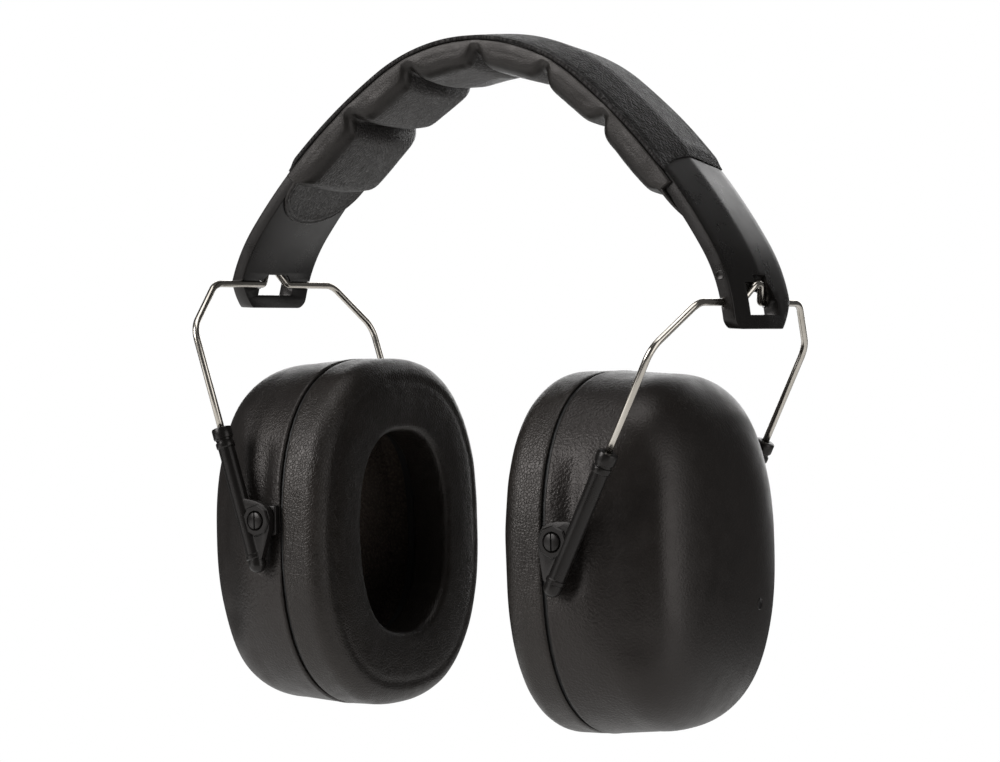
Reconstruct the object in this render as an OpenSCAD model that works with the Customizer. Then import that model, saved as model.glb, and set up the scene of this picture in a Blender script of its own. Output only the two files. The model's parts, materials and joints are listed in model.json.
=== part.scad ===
// Hearing protection earmuffs: a padded headband, two wire yokes that fold in at its ends,
// four arms that slide on the yoke legs, and two ear cups that tilt on snap-in studs.
// Millimetres, +Z up, +Y towards the back of the head, +X towards the right cup.
// The origin is the point on the crown of the head that the padded headband rests on.

/* [Headband] */
// Width of the plastic bow
bow_w = 34; // [28:1:40]
// Thickness of the bow at its long edges
bow_t = 3.8; // [3:0.1:5]
// Height of the ridge along the bow's outer face
bow_ridge = 1.1; // [0:0.1:2]
// Height of the bow's top edge above the crown of the head
bow_top = 13.6; // [12:0.1:16]
// Length of the padded cover along the bow, to one side of the crown
cover_half = 74; // [70:1:78]
// Thickness of the leatherette of the covers
skin_t = 1.2; // [0.8:0.1:1.5]
// Greatest depth of the foam cushions below the bow
pillow_depth = 6; // [4:0.5:8]

/* [Yokes] */
// Distance from the middle plane to each folding axis
axis_x = 80; // [76:0.5:84]
// Depth of the folding axes below the crown of the head
axis_drop = 58; // [54:0.5:62]
// Diameter of the stainless wire
wire_d = 2; // [1.8:0.1:2.4]
// Half length of the straight run that turns in the bow
run_half = 29.5; // [26:0.5:32]
// Half distance between the two legs of a yoke
leg_y = 45.1; // [44.9:0.1:46]
// Depth of the legs' upper ends below the folding axis
shoulder_drop = 13.5; // [12:0.5:16]
// Height of the crank in the middle of the run
crank_h = 6.6; // [6:0.1:7]
// Lean of the left yoke's legs from the vertical, in degrees
left_lean = 20.7; // [15:0.1:25]
// Lean of the right yoke's legs from the vertical, in degrees
right_lean = 22.9; // [15:0.1:25]

/* [Arms] */
// Distance from the folding axis to the arms' upper ends, along the legs
arm_from = 43.6; // [40:0.2:46]
// Length of each arm
arm_l = 43; // [40:1:46]
// Diameter of the arms' tubes
arm_d = 4.8; // [4.6:0.1:5]
// Distance from the folding axis to the studs, along the legs
stud_from = 72.5; // [70:0.5:74]
// Distance from the arm's centreline to the stud's, towards the head
stud_offset = 4.5; // [4.3:0.1:5]
// Diameter of the snap-in studs
stud_d = 4.8; // [4.4:0.1:5]
// Radial running clearance of the wire and the studs in the arms
fit_gap = 0.05; // [0.02:0.01:0.09]

/* [Cups] */
// Height of the ear cups
cup_h = 101; // [96:1:106]
// Width of the ear cups
cup_w = 86; // [84:1:88]
// Exponent of the cups' rounded oval outline
cup_n = 2.45; // [2:0.01:3]
// Depth of the shell's side wall
wall_depth = 15; // [12:1:18]
// Depth of the shell's dome beyond the side wall
dome_depth = 22.3; // [18:0.1:26]
// Wall thickness of the shells
shell_t = 2.4; // [2:0.1:3]
// Thickness of the ear cushions
cushion_t = 13.4; // [12:0.5:18]
// Half width and half height of the ear opening
ear_opening = [22.4, 29.2]; // [15:0.5:30]
// Lean of the left cup, with its top outwards, in degrees
left_cup_lean = 3.6; // [-6:0.1:6]
// Lean of the right cup, with its top outwards, in degrees
right_cup_lean = -3.8; // [-6:0.1:6]

/* [Hidden] */
$fn = 48;
black = [0.07, 0.07, 0.07];
dark_leather = [0.1, 0.1, 0.1];
grained_leather = [0.13, 0.13, 0.14];
foam_grey = [0.18, 0.18, 0.19];
steel = [0.72, 0.72, 0.7];
eps = 0.02;

// The bow's outer edge: arcs of [radius, sweep in degrees] from the crown down, then a straight end.
bow_arcs = [[57, 35.5], [175, 20.5], [48, 22.5]];
bow_lip = 7;                       // how far the bow reaches below the folding axis
bow_half = bow_w / 2;
cover_side = 1.3;                  // how far the cover stands out beyond the bow's edges
pillow_ends = [0, 25, 49.5, 78];   // where the foam cushions meet, along the bow
tab_end = 92.5;                    // how far the inner sheet's rounded tabs reach along it
notch_depth = 1;                   // foam left under the bow where two cushions meet
foam_gap = 0.1;                    // between the foam and the leatherette round it
pad_half = bow_half + cover_side;
corner_r = [8, 3.5];               // radii of the lower corners of the bow's ends

wire_r = wire_d / 2;
bead_r = wire_r + 0.02;
wire_in_arm = 20;                  // length of leg inside an arm
bend_r = 8;                        // centreline radius of the yokes' bends
crank_foot = 5.8;
crank_bend = 2.1;
groove_half = wire_r + 0.08;
window = [7.8, 6.1];               // half width of the window outside and inside
window_z = [-3.2, 5.6];            // its lower and upper edge from the folding axis, outside
window_top = 2.9;                  // its upper edge on the side of the head
seat_r = 1.5;                      // seat of the crank at the top of the window
seat_half = 3.6;

arm_r = arm_d / 2;
bore_r = wire_r + fit_gap;
bore_depth = arm_l - 2.2;
collar_r = arm_r + 0.5;
plate_y = [leg_y - 0.6, leg_y + 2.1];
stud_r = stud_d / 2;
eye_r = stud_r + fit_gap;
stud_tip = leg_y + 2.5;
stud_slit = 0.7;

pivot_out = 5.3;                   // from the plane between shell and cushion to the studs
pivot_up = 5.3;                    // from the cup's centre up to the studs
flat_y = leg_y - arm_r - 0.5;      // the shell's flats under the arms
half_w = cup_w / 2;
half_h = cup_h / 2;
dome_exp = 2.45;
wall_draft = 1.2;
plate_t = 1.6;
cushion_edge_r = 6.5;
cover_t = 0.8;
sides = 56;                        // sides of the cups' lofted outlines
dome_rings = 9;

// ---------- curves ----------

// [x, z, slope] of the bow's outer edge, s millimetres down from the crown
function bow_at(s, i = 0, x = 0, z = bow_top, a = 0) =
    i == len(bow_arcs) ? [x + s * cos(a), z - s * sin(a), a] :
    let (r = bow_arcs[i][0], turn = min(bow_arcs[i][1], s / r * 180 / PI), b = a + turn,
         x2 = x + r * (sin(b) - sin(a)), z2 = z - r * (cos(a) - cos(b)))
    turn < bow_arcs[i][1] ? [x2, z2, b] : bow_at(s - r * turn * PI / 180, i + 1, x2, z2, b);

// Point at distance s along the bow, depth d towards the head and y across it
function bow_point(s, d, y) =
    let (p = bow_at(abs(s)))
    [sign(s) * (p[0] - d * sin(p[2])), y, p[1] - d * cos(p[2])];

// Arc length at which the bow's edge is at the height of the folding axis
arcs_length = [for (a = bow_arcs) a[0] * a[1] * PI / 180] * [1, 1, 1];
arcs_end = bow_at(arcs_length);
bow_end = arcs_length + (arcs_end[1] + axis_drop + bow_lip) / sin(arcs_end[2]);

// Rounded oval (superellipse) with half width a and half height b, as [y, z] points
function oval(a, b, n = cup_n) =
    [for (i = [0 : sides - 1])
        let (t = 360 * i / sides, c = cos(t), s = sin(t))
        [a * sign(c) * pow(abs(c), 2 / n), b * sign(s) * pow(abs(s), 2 / n)]];

// ---------- lofts ----------

// Strips that fill a ring of n points from its middle outwards, pairing i with n - 1 - i
function strips(n) =
    [for (i = [0 : ceil(n / 2) - 2])
        i + 1 == n - 2 - i ? [i, i + 1, n - 1 - i] : [i, i + 1, n - 2 - i, n - 1 - i]];

// Solid through rings of points; the first and last ring are closed by flat ends
module loft(rings) {
    n = len(rings[0]);
    m = len(rings);
    polyhedron(
        points = [for (r = rings) each r],
        faces = concat(
            strips(n),
            [for (k = [0 : m - 2], i = [0 : n - 1])
                let (j = (i + 1) % n) each [[k * n + j, k * n + i, (k + 1) * n + i],
                                            [k * n + j, (k + 1) * n + i, (k + 1) * n + j]]],
            [for (f = strips(n)) [for (i = [len(f) - 1 : -1 : 0]) (m - 1) * n + f[i]]]));
}

// Ring-shaped solid through rings of points, the last joined to the first
module ring_loft(rings) {
    n = len(rings[0]);
    m = len(rings);
    polyhedron(
        points = [for (r = rings) each r],
        faces = [for (k = [0 : m - 1], i = [0 : n - 1])
            let (j = (i + 1) % n, l = (k + 1) % m)
            each [[k * n + i, k * n + j, l * n + i], [k * n + j, l * n + j, l * n + i]]]);
}

// Band along the bow through rings of [distance s along it, [y, depth] points]
module band(rings) {
    loft([for (r = reverse(rings)) [for (p = r[1]) bow_point(r[0], p[1], p[0])]]);
}

function steps(from, to, n) = [for (i = [0 : n]) from + (to - from) * i / n];
function reverse(list) = [for (i = [len(list) - 1 : -1 : 0]) list[i]];

// ---------- headband ----------

function bow_profile() = [[-bow_half, 0], [0, -bow_ridge], [bow_half, 0], [bow_half, bow_t],
                          [-bow_half, bow_t]];

module at_axis(side) {
    translate([side * axis_x, 0, -axis_drop]) mirror([side < 0 ? 1 : 0, 0, 0]) children();
}

// Moves children from a bow end's own frame; the two ends are alike when turned half round
module at_end(side) {
    translate([side * axis_x, 0, -axis_drop]) rotate([0, 0, side < 0 ? 180 : 0]) children();
}

// Window for the yoke's crank: wide outside the wire, narrower on the side of the head
module bow_window() {
    low = window_z[0];
    top = window_z[1];
    rotate([90, 0, 90]) {
        linear_extrude(8)
            polygon([[-window[0] - 1, low], [window[0], low], [window[0], 0.4],
                     [window[0] - 4.2, top], [-window[0] - 1, top]]);
        translate([0, 0, -6])
            linear_extrude(6.5)
                polygon([[-window[1], low], [window[1], low], [window[1] + 1.4, -0.3],
                         [window[1] + 0.6, 1.4], [window[1] - 1.2, window_top],
                         [1.2 - window[1], window_top], [-window[1] - 0.6, 1.4],
                         [-window[1] - 1.4, -0.3]]);
    }
}

// Rounds the lower corner at y = k * bow_half with radius r
module corner_cut(k, r) {
    translate([-15, 0, -bow_lip + r])
        rotate([90, 0, 90])
            linear_extrude(30)
                difference() {
                    translate([k > 0 ? bow_half - r : -bow_half - 1, -r - 1]) square(r + 1);
                    translate([k * (bow_half - r), 0]) circle(r = r);
                }
}

module bow_end_cuts(side) {
    lean = side < 0 ? left_lean : right_lean;
    at_end(side) {
        bow_window();
        // Seat above the window that the crank rests in when the yoke is folded out
        translate([crank_h * sin(lean), 0, crank_h * cos(lean)])
            rotate([90, 0, 0]) cylinder(r = seat_r, h = 2 * seat_half, center = true);
        // Groove that the yoke's run turns in, open towards the head
        rotate([90, 0, 0]) cylinder(r = groove_half, h = bow_w + 2, center = true);
        translate([-6, -bow_half - 1, -groove_half])
            cube([6, bow_w + 2, 2 * groove_half]);
        corner_cut(1, corner_r[0]);
        corner_cut(-1, corner_r[1]);
        // Level lower edge
        translate([-15, -bow_half - 1, -bow_lip - 2]) cube([30, bow_w + 2, 2]);
    }
}

module headband_bow() {
    color(black)
        difference() {
            band([for (s = steps(-bow_end, bow_end, 88)) [s, bow_profile()]]);
            for (side = [-1, 1]) bow_end_cuts(side);
        }
}

// Outer sheet: over the bow and down both of its edges
module headband_top_cover() {
    gap = 0.05;
    profile = [[-pad_half, bow_t], [-pad_half, -skin_t * 0.5], [0, -bow_ridge - skin_t],
               [pad_half, -skin_t * 0.5], [pad_half, bow_t], [bow_half + gap, bow_t],
               [bow_half + gap, -gap], [0, -bow_ridge - gap], [-bow_half - gap, -gap],
               [-bow_half - gap, bow_t]];
    color(grained_leather)
        band([for (s = steps(-cover_half, cover_half, 60)) [s, profile]]);
}

// Depth of the foam below the bow at s: six cushions with notches between them
function foam_depth(s) =
    let (a = abs(s), k = a < pillow_ends[1] ? 0 : a < pillow_ends[2] ? 1 : 2,
         t = (a - pillow_ends[k]) / (pillow_ends[k + 1] - pillow_ends[k]))
    a >= pillow_ends[3] ? notch_depth :
    notch_depth + (pillow_depth - notch_depth) * pow(max(0, sin(180 * t)), 0.45);

// Distances along the bow at which the foam's depth is given, without the last trim at each end
function foam_stations(trim) =
    let (one = [for (k = [0 : 2], t = [0, 0.03, 0.1, 0.25, 0.5, 0.75, 0.9, 0.97])
                    pillow_ends[k] + t * (pillow_ends[k + 1] - pillow_ends[k])],
         last = len(one) - 1 - trim)
    [for (i = [-last : last]) sign(i) * one[abs(i)]];

module headband_foam() {
    w = bow_half - 1;
    color(foam_grey)
        band([for (s = foam_stations(1))
            let (d = bow_t + foam_depth(s))
            [s, [[-w, bow_t + eps], [w, bow_t + eps], [w, (bow_t + d) / 2], [w - 3, d],
                 [3 - w, d], [-w, (bow_t + d) / 2]]]]);
}

// Half width of a rounded tab at distance s along the bow
function tab_half(s) =
    let (start = pillow_ends[3], t = (s - start) / (tab_end - start))
    pad_half * sqrt(max(0, 1 - t * t));

// Inner sheet: a trough round the foam, with a rounded tab on the bow at each end
module headband_pad_cover() {
    w = bow_half - 1 + foam_gap;
    near = bow_t + eps;
    color(dark_leather) {
        // Mirrored, so that its inner facets lie along the foam's
        mirror([0, 1, 0])
            band([for (s = foam_stations(0))
                let (d = bow_t + foam_depth(s), m = (bow_t + d) / 2, in = d + foam_gap)
                [s, [[-w, near], [-w, m], [3 - w, in], [w - 3, in], [w, m], [w, near],
                     [pad_half, near], [pad_half, m], [pad_half - 3.5, d + skin_t],
                     [3.5 - pad_half, d + skin_t], [-pad_half, m], [-pad_half, near]]]]);
        for (side = [-1, 1]) {
            rings = [for (s = steps(pillow_ends[3] - 1, tab_end - 0.3, 8))
                let (b = tab_half(max(s, pillow_ends[3])), far = near + skin_t)
                [side * s, [[-b, near], [b, near], [b, far], [-b, far]]]];
            band(side > 0 ? rings : reverse(rings));
        }
    }
}

// ---------- yokes ----------

// Moves children from a yoke's own frame, with its legs along -Z, to its place
module in_yoke(side) {
    at_axis(side) rotate([0, side < 0 ? left_lean : right_lean, 0]) children();
}

// Round wire in the YZ plane through points p, with bends of centreline radius r
module wire(p, r) {
    last = len(p) - 1;
    dir = [for (i = [0 : last - 1]) (p[i + 1] - p[i]) / norm(p[i + 1] - p[i])];
    turn = [for (i = [1 : last - 1]) acos(dir[i - 1] * dir[i])];
    cut = [for (i = [0 : last]) i == 0 || i == last ? 0 : r[i] * tan(turn[i - 1] / 2)];
    for (i = [0 : last - 1]) {
        a = p[i] + dir[i] * cut[i];
        b = p[i + 1] - dir[i] * cut[i + 1];
        translate([0, a[0], a[1]])
            rotate([-atan2(dir[i][0], dir[i][1]), 0, 0]) cylinder(r = wire_r, h = norm(b - a));
        // Beads join each straight to its bends
        for (q = [if (i > 0) a, if (i < last - 1) b]) translate([0, q[0], q[1]]) sphere(r = bead_r);
    }
    for (i = [1 : last - 1]) {
        left = dir[i - 1][0] * dir[i][1] - dir[i - 1][1] * dir[i][0] > 0 ? 1 : -1;
        start = p[i] - dir[i - 1] * cut[i];
        inward = left * [-dir[i - 1][1], dir[i - 1][0]];
        centre = start + inward * r[i];
        from = atan2(-inward[1], -inward[0]);
        translate([0, centre[0], centre[1]])
            rotate([90, 0, 90])
                rotate([0, 0, left > 0 ? from : from - turn[i - 1]])
                    rotate_extrude(angle = turn[i - 1]) translate([r[i], 0]) circle(r = wire_r);
    }
}

module yoke(side) {
    half = [[0, crank_h + 0.9], [crank_foot, 0], [run_half, 0], [leg_y, -shoulder_drop],
            [leg_y, -arm_from - wire_in_arm]];
    path = concat([for (i = [4 : -1 : 1]) [-half[i][0], half[i][1]]], half);
    radii = [0, bend_r, bend_r, crank_bend, crank_bend, crank_bend, bend_r, bend_r, 0];
    color(steel) in_yoke(side) wire(path, radii);
}

module left_yoke() yoke(-1);
module right_yoke() yoke(1);

// ---------- arms ----------

// One arm in the yoke's frame; k is -1 at the front and 1 at the back
module arm(side, k) {
    top = -arm_from;
    color(black)
        in_yoke(side)
            difference() {
                union() {
                    translate([0, k * leg_y, 0]) {
                        translate([0, 0, top - arm_l + arm_r + 0.2])
                            cylinder(r = arm_r, h = arm_l - arm_r - 0.3);
                        translate([0, 0, top - arm_l + arm_r + 0.2]) sphere(r = arm_r + 0.2);
                        translate([0, 0, top - 3.4]) cylinder(r = collar_r, h = 3.4);
                        translate([0, 0, top - 6]) cylinder(r = collar_r - 0.15, h = 1.7);
                        translate([0, 0, top - arm_l + 4]) cylinder(r = arm_r + 0.35, h = 1.3);
                    }
                    arm_plate(k);
                }
                translate([0, k * leg_y, top - bore_depth])
                    cylinder(r = bore_r, h = bore_depth + 1);
                translate([-stud_offset, k * (leg_y - 4), -stud_from])
                    rotate([k * -90, 0, 0]) cylinder(r = eye_r, h = 8);
                // Countersink round the stud's tip
                translate([-stud_offset, k * (plate_y[1] - 0.5), -stud_from])
                    rotate([k * -90, 0, 0]) cylinder(r = eye_r + 0.45, h = 2);
            }
}

// Triangular web with the eyelet
module arm_plate(k) {
    translate([-stud_offset, k > 0 ? plate_y[0] : -plate_y[1], -stud_from])
        rotate([90, 0, 0]) mirror([0, 0, 1])
            linear_extrude(plate_y[1] - plate_y[0])
                polygon([[stud_offset, 7.2], [1.8, 7], [-1.4, 5.3], [-3.6, 3.6], [-4.7, 1.6],
                         [-4.7, -0.6], [-3.4, -3.6], [1.6, -10.6], [stud_offset, -11]]);
}

module left_front_arm() arm(-1, -1);
module left_rear_arm() arm(-1, 1);
module right_front_arm() arm(1, -1);
module right_rear_arm() arm(1, 1);

// ---------- cups ----------

// Moves children from a cup's own frame to its place. There, x = 0 is the plane between the
// shell and the cushion, +x points away from the head and the cup's centre is at y = z = 0.
module in_cup(side) {
    lean = side < 0 ? left_lean : right_lean;
    cup_lean = side < 0 ? left_cup_lean : right_cup_lean;
    at_axis(side)
        rotate([0, lean, 0]) translate([-stud_offset, 0, -stud_from]) rotate([0, cup_lean - lean, 0])
            translate([-pivot_out, 0, -pivot_up]) children();
}

// Ring of the shell at depth x, shrunk by t on both half axes and scaled by k
function shell_ring(x, k, t) =
    [for (p = oval((half_w - t) * k, (half_h - t) * k))
        [x, max(-flat_y + t, min(flat_y - t, p[0])), p[1]]];

// Rings of the dome from the side wall to its crown, t inside the outer surface
function dome(t) =
    let (last = 84)
    [for (i = [0 : dome_rings])
        let (a = last * i / dome_rings,
             k = pow(cos(a), 2 / dome_exp), up = pow(sin(a), 2 / dome_exp))
        shell_ring(wall_depth + (dome_depth - t) * up, k, wall_draft + t)];

module shell(side) {
    color(black)
        in_cup(side) {
            loft(concat(reverse(dome(shell_t)), [shell_ring(0.2, 1, shell_t)],
                        [shell_ring(0.2, 1, 0)], dome(0)));
            for (k = [-1, 1]) {
                // Block beside the stud, and the split stud itself
                translate([0.4, k > 0 ? flat_y - 1 : -leg_y + 0.9, pivot_up - 4.2])
                    cube([3.2, leg_y - 0.9 - flat_y + 1, 8.4]);
                difference() {
                    translate([pivot_out, k * (flat_y - 1), pivot_up])
                        rotate([k * -90, 0, 0]) cylinder(r = stud_r, h = stud_tip - flat_y + 1);
                    translate([pivot_out, k * stud_tip, pivot_up])
                        cube([stud_slit, 5, 2 * stud_d], center = true);
                }
            }
        }
}

// Acoustic foam: a dish that lines the shell
module foam_liner(side) {
    inset = shell_t + wall_draft + 1.5;
    thick = 6;
    base = wall_depth + 3;
    color(foam_grey)
        in_cup(side)
            rotate([90, 0, 90])
                difference() {
                    translate([0, 0, 1.6])
                        linear_extrude(base - 1.6) polygon(oval(flat_y - inset, half_h - inset));
                    linear_extrude(base - thick)
                        polygon(oval(flat_y - inset - thick, half_h - inset - thick));
                }
}

// Plate that carries the cushion and snaps into the shell's rim
module cushion_plate(side) {
    open = ear_opening + [2, 2];
    skirt = shell_t + 0.3;
    color(black)
        in_cup(side)
            rotate([90, 0, 90])
                difference() {
                    union() {
                        translate([0, 0, -plate_t])
                            linear_extrude(plate_t) polygon(oval(flat_y - 0.2, half_h - 0.7));
                        translate([0, 0, -eps])
                            linear_extrude(1.4)
                                polygon(oval(flat_y - skirt, half_h - skirt));
                    }
                    translate([0, 0, -5]) linear_extrude(10) polygon(oval(open[0], open[1]));
                }
}

// Cross-section of the cushion, t inside its surface: [x, distance in from the outline]
function cushion_section(t) =
    let (r = cushion_edge_r - t, face = -plate_t - cushion_t + t, back = -plate_t - 0.1 - t,
         inner_r = 3 - t, deep = half_w - ear_opening[0])
    concat(
        [[back, 1.2 + t], [back - 3, 0.3 + t]],
        [for (a = [0 : 15 : 90]) [face + r * (1 - sin(a)), t + r * (1 - cos(a))]],
        [for (a = [0 : 22.5 : 90])
            [face + inner_r * (1 - cos(a)), deep - t - inner_r * (1 - sin(a))]],
        [[back, deep - t]]);

// The opening is more upright than the outline, so the inset differs across and up
function cushion_rings(t) =
    let (deep = half_w - ear_opening[0], tall = half_h - ear_opening[1])
    [for (p = cushion_section(t))
        let (k = p[1] / deep)
        [for (q = oval(half_w - p[1], half_h - k * tall)) [p[0], q[0], q[1]]]];

module cushion_cover(side) {
    color(dark_leather)
        in_cup(side)
            difference() {
                ring_loft(cushion_rings(0));
                ring_loft(cushion_rings(cover_t));
            }
}

module cushion_foam(side) {
    color(foam_grey) in_cup(side) ring_loft(cushion_rings(cover_t + eps));
}

module left_shell() shell(-1);
module right_shell() shell(1);
module left_foam_liner() foam_liner(-1);
module right_foam_liner() foam_liner(1);
module left_cushion_plate() cushion_plate(-1);
module right_cushion_plate() cushion_plate(1);
module left_cushion_foam() cushion_foam(-1);
module right_cushion_foam() cushion_foam(1);
module left_cushion_cover() cushion_cover(-1);
module right_cushion_cover() cushion_cover(1);

headband_bow();
headband_top_cover();
headband_pad_cover();
headband_foam();
left_yoke();
left_front_arm();
left_rear_arm();
left_shell();
left_foam_liner();
left_cushion_plate();
left_cushion_foam();
left_cushion_cover();
right_yoke();
right_front_arm();
right_rear_arm();
right_shell();
right_foam_liner();
right_cushion_plate();
right_cushion_foam();
right_cushion_cover();
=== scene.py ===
"""Looks of a pair of hearing protection earmuffs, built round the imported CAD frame.

Lengths are in millimetres until a mesh is made, which turns them into metres.
"""
import json
import math

import bmesh
import bpy
import numpy as np
from mathutils import Matrix, Vector, noise


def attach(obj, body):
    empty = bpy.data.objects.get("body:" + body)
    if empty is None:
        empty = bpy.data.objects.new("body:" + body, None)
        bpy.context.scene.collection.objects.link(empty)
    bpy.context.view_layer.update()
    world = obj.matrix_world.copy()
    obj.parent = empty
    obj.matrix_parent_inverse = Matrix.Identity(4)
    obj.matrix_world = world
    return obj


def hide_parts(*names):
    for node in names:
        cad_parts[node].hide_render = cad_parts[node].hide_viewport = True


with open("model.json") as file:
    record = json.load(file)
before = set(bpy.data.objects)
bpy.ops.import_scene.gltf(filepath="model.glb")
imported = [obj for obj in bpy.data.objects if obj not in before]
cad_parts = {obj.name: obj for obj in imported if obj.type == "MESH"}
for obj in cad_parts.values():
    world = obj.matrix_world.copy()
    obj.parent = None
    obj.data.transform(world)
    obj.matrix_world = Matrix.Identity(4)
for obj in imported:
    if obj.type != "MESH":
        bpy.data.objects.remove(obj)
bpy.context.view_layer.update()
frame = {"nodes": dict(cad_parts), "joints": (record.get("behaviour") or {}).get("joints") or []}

MM = 0.001

# ---------- sizes shared with the CAD design ----------

BOW_ARCS = [(57, 35.5), (175, 20.5), (48, 22.5)]    # radius and sweep in degrees, from the crown
BOW_TOP = 13.6              # outer face of the bow at its crown, above the origin
BOW_DROP = 65               # lower ends of the bow, below the origin
BOW_LIP = 7                 # how far the bow reaches below the folding axis
BOW_HALF = 17               # half of its width
BOW_T = 3.8
BOW_RIDGE = 1.1             # height of the ridge along its middle
PILLOW_ENDS = [-78, -49.5, -25, 0, 25, 49.5, 78]    # seams between the cushions, along the bow
PAD_HALF = 18.3             # half width of the bow's covers
TAB_END = 92.5              # how far the inner cover's rounded tabs reach along the bow
WIRE_R = 1
GROOVE_R = WIRE_R + 0.08    # the wire's groove in the bow
SEAT_R = 1.5                # the crank's seat at the top of the window
SEAT_HALF = 3.6
RUN_HALF = 29.5             # half of the wire's straight run on the folding axis
CRANK_H = 6.6               # height of the crank in the middle of that run
CRANK_FOOT = 5.8            # half of its width at its foot
CRANK_BEND = 2.1            # radius of the wire's bends at its foot, and at its tip
CRANK_TIP_R = 3
BEND_R = 8                  # radius of the wire's other bends
SHOULDER_DROP = 13.5        # from the run down to the top of the legs
WIRE_IN_ARM = 20
LEG_Y = 45.1                # the wire's legs, from the middle
ARM_FROM = 43.6             # upper end of the arms, below the folding axis
ARM_R = 2.4
BORE_R = WIRE_R + 0.1
BORE_DEPTH = 40.8
STUD_FROM = 72.5            # the studs, below the folding axis
STUD_OFFSET = 4.5           # and from the legs towards the head
STUD_R = 2.4
STUD_TIP = 47.6
EYE_R = STUD_R + 0.06       # hole in the arm's eyelet
PLATE_Y = (LEG_Y - 0.6, LEG_Y + 1.45, LEG_Y + 2.1)  # back of web and eyelet, and their fronts
PIVOT_OUT = 5.3             # studs from the plane between shell and cushion
PIVOT_UP = 5.3              # and above the cup's centre
CUP_LEAN = {"left": 3.6, "right": -3.8}             # degrees
CUP_N = 2.45                # exponent of the cups' outline
HALF_W = 43                 # half of the cups' width and of their height
HALF_H = 50.5
WALL_DEPTH = 15             # height of the shell's side wall
WALL_DRAFT = 1.2            # how much it narrows over that height
DOME_DEPTH = 22.3
DOME_EXP = 2.45             # exponent of the dome's section
SHELL_T = 2.4
FLAT_Y = LEG_Y - ARM_R - 0.5    # the shell's flats under the arms
PLATE_T = 1.6
CUSHION_T = 13.4
OPENING = (22.4, 29.2)      # half sizes of the opening for the ear

# ---------- sizes of the looks alone ----------

SLEEVE_HALF = BOW_HALF + 0.12   # inner faces of the covers, beside the bow's edges
COVER_END = 69.3            # end of the outer cover along the bow, at its middle
CROWN_HALF = 14.3           # half width of a headband cushion's crowned face
VALLEY = (5.2, 24.5, 8)     # depth, height and spread of the hollow between wall and dome
BESIDE_ARMS = (1.6, 7.2, 3.2)   # and of the one in the wall beside the arms
BOSS_FROM = 40.5            # where studs and blocks start, inside the shell's wall
SHELL_MARK = (12, -15)      # place of the ring mark on the shell's outer face
BOW_MARK = (107.5, 1.9)     # and of the one on the bow: along it and from its outer face
BOW_RINGS = 141             # sections along the bow and its outer cover

JOINTS = {j["name"]: j for j in frame["joints"]}
ENDS = {"front": -1, "rear": 1}         # the sign of Y at each arm


class Side:
    """Where one side's yoke, arms and cup are, from its joints. Both have frames of their own,
    which point outwards along +X; the shared frame is the CAD's."""

    def __init__(self, name):
        self.name = name
        self.sign = -1 if name == "left" else 1
        self.axis = np.array(JOINTS[name + "_fold"]["pos_m"]) / MM
        self.stud = np.array(JOINTS[name + "_cup_tilt"]["pos_m"]) / MM
        slide = np.array(JOINTS[name + "_front_slide"]["axis"])
        self.up = slide * math.copysign(1, slide[2])
        self.cup_lean = math.radians(CUP_LEAN[name])

    def yoke(self, points):
        """From the yoke's frame, with its legs along -Z, to the shared frame."""
        p = np.asarray(points, float)
        out, up = abs(self.up[2]), abs(self.up[0])
        x = self.axis[0] + self.sign * (p[:, 0] * out + p[:, 2] * up)
        return np.stack([x, p[:, 1], self.axis[2] - p[:, 0] * up + p[:, 2] * out], 1)

    def cup(self, points):
        """From the cup's frame, with x = 0 between shell and cushion, to the shared frame."""
        p = np.asarray(points, float)
        x, z = p[:, 0] - PIVOT_OUT, p[:, 2] - PIVOT_UP
        c, s = math.cos(self.cup_lean), math.sin(self.cup_lean)
        return np.stack([self.stud[0] + self.sign * (x * c + z * s), p[:, 1],
                         self.stud[2] - x * s + z * c], 1)


SIDES = [Side("left"), Side("right")]

# ---------- meshes ----------


def add_mesh(name, points, faces, smooth=True):
    """A closed or open mesh object from points in millimetres, with its normals outwards."""
    mesh = bpy.data.meshes.new(name)
    mesh.from_pydata([tuple(p) for p in np.asarray(points) * MM], [], faces)
    bm = bmesh.new()
    bm.from_mesh(mesh)
    bmesh.ops.recalc_face_normals(bm, faces=bm.faces)
    for face in bm.faces:
        face.smooth = smooth
    bm.to_mesh(mesh)
    bm.free()
    piece = bpy.data.objects.new(name, mesh)
    bpy.context.scene.collection.objects.link(piece)
    return piece


def loft_faces(rings, size, wrap=False, caps=True):
    """Faces through rings of size points each; wrap joins the last ring to the first."""
    faces = []
    for k in range(rings if wrap else rings - 1):
        a, b = k * size, (k + 1) % rings * size
        for i in range(size):
            j = (i + 1) % size
            faces.append((a + i, a + j, b + j, b + i))
    if caps and not wrap:
        faces.append(tuple(range(size)))
        faces.append(tuple(range((rings - 1) * size, rings * size)))
    return faces


def attribute(piece, name, values):
    """A vector for every point, which materials read by name."""
    data = piece.data.attributes.new(name, "FLOAT_VECTOR", "POINT")
    data.data.foreach_set("vector", np.asarray(values, np.float32).ravel())


def apply_modifiers(piece):
    """Replaces the piece's mesh with what its modifiers make of it."""
    graph = bpy.context.evaluated_depsgraph_get()
    graph.update()
    made = bpy.data.meshes.new_from_object(piece.evaluated_get(graph), depsgraph=graph)
    piece.modifiers.clear()
    piece.data = made


def subdivide(piece):
    """Divides each face in four and smooths the piece, but keeps its open corners."""
    modifier = piece.modifiers.new("Subdivision", "SUBSURF")
    modifier.levels = modifier.render_levels = 1
    modifier.boundary_smooth = "PRESERVE_CORNERS"
    apply_modifiers(piece)


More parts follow.
